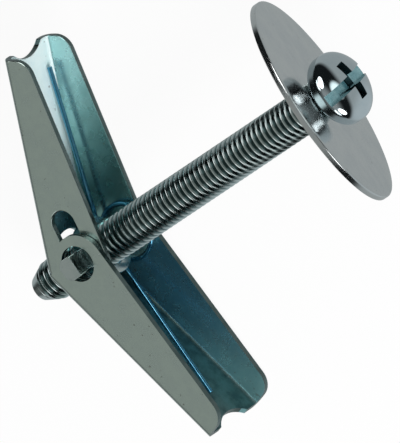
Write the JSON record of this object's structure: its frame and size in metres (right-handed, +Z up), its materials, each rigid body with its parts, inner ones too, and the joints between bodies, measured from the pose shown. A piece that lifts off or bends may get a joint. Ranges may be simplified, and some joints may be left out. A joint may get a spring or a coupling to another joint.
{
  "type": "spring toggle bolt",
  "caption": "Spring toggle bolt with a slotted and cross-recessed domed screw, a wide loose washer and sprung folding channel wings on a trunnion nut, shown open.",
  "frame": {"origin": "centre of the bounding box's base, on the surface the loose bolt lies on", "axes": "+X along the screw towards its head, seen from above; +Y from the outer wing's side to the inner wing's; +Z up"},
  "size_m": [0.0524, 0.0478, 0.0248],
  "materials": {
    "zinc_plate": "bright zinc plate",
    "spring_wire": "bright blue-grey wire"
  },
  "bodies": {
    "nut": {"trunnion_nut": "zinc_plate", "torsion_spring": "spring_wire"},
    "outer_wing": {"outer_wing": "zinc_plate"},
    "inner_wing": {"inner_wing": "zinc_plate"},
    "washer": {"penny_washer": "zinc_plate"},
    "screw": {"machine_screw": "zinc_plate"}
  },
  "joints": [
    {"name": "outer_wing_fold", "type": "hinge", "parent": "nut", "child": "outer_wing", "pos_m": [-0.01572, 0.0003, 0.00712], "axis": [-0.1423, -0.0925, 0.9855], "range_deg": [0, 75.8], "stiffness_Nm_per_rad": 0.02, "springref_deg": -28.65, "deforming": ["torsion_spring"]},
    {"name": "inner_wing_fold", "type": "hinge", "parent": "nut", "child": "inner_wing", "pos_m": [-0.01572, 0.0003, 0.00712], "axis": [0.1423, 0.0925, -0.9855], "range_deg": [0, 62.6], "stiffness_Nm_per_rad": 0.02, "springref_deg": -28.65, "deforming": ["torsion_spring"]},
    {"name": "screw_travel", "type": "slide", "parent": "nut", "child": "washer", "axis": [-0.9897, 0, -0.1429], "range_m": [-0.0064, 0.0096]},
    {"name": "screw_turn", "type": "hinge", "parent": "washer", "child": "screw", "pos_m": [0.02288, 0.0003, 0.0127], "axis": [-0.9897, 0, -0.1429], "range_deg": [-2890, 4330]}
  ],
  "couplings": [
    {"joint": "screw_turn", "follows": "screw_travel", "rad_per_m": 7854}
  ]
}
